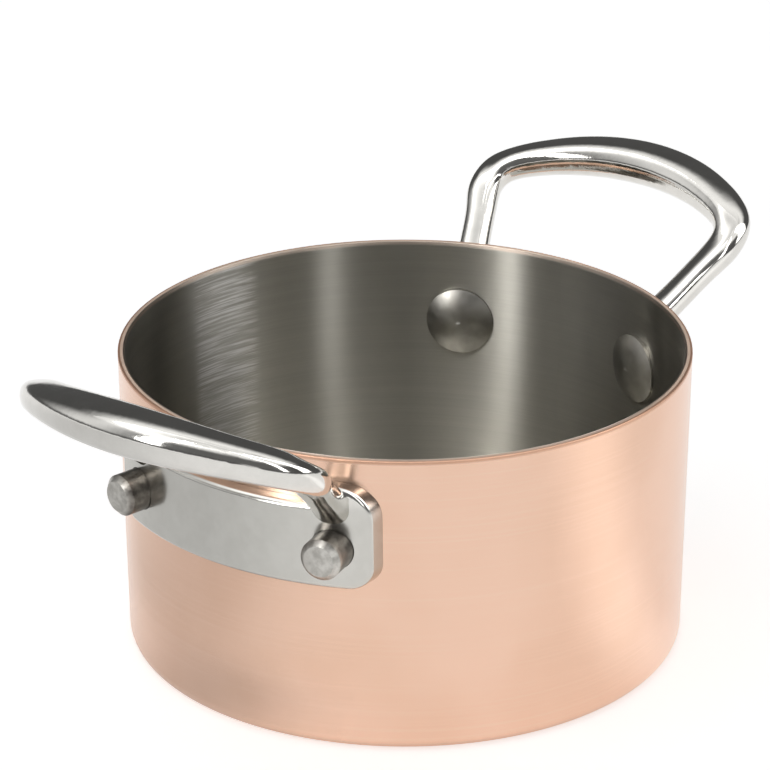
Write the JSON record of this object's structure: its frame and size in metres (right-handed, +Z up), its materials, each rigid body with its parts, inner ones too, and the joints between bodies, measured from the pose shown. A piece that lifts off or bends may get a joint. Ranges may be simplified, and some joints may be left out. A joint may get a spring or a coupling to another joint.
{
  "type": "jam pan",
  "caption": "Small round copper-clad pan with a steel lining and looped cast handles riveted to opposite sides of its rim.",
  "frame": {"origin": "centre of the flat underside", "axes": "+Z up, out of the pan's mouth; +X through the middle of one handle and -X through the middle of the other"},
  "size_m": [0.1616, 0.1, 0.0682],
  "materials": {
    "copper": "satin-polished copper",
    "core": "rolled",
    "lining": "brushed round the axis",
    "handle": "mirror-polished cast stainless steel",
    "rivet": "satin"
  },
  "bodies": {
    "root": {"copper_shell": "copper", "aluminium_core": "core", "steel_lining": "lining", "right_handle": "handle", "left_handle": "handle", "right_handle_rivet_a": "rivet", "right_handle_rivet_b": "rivet", "left_handle_rivet_a": "rivet", "left_handle_rivet_b": "rivet"}
  },
  "joints": []
}
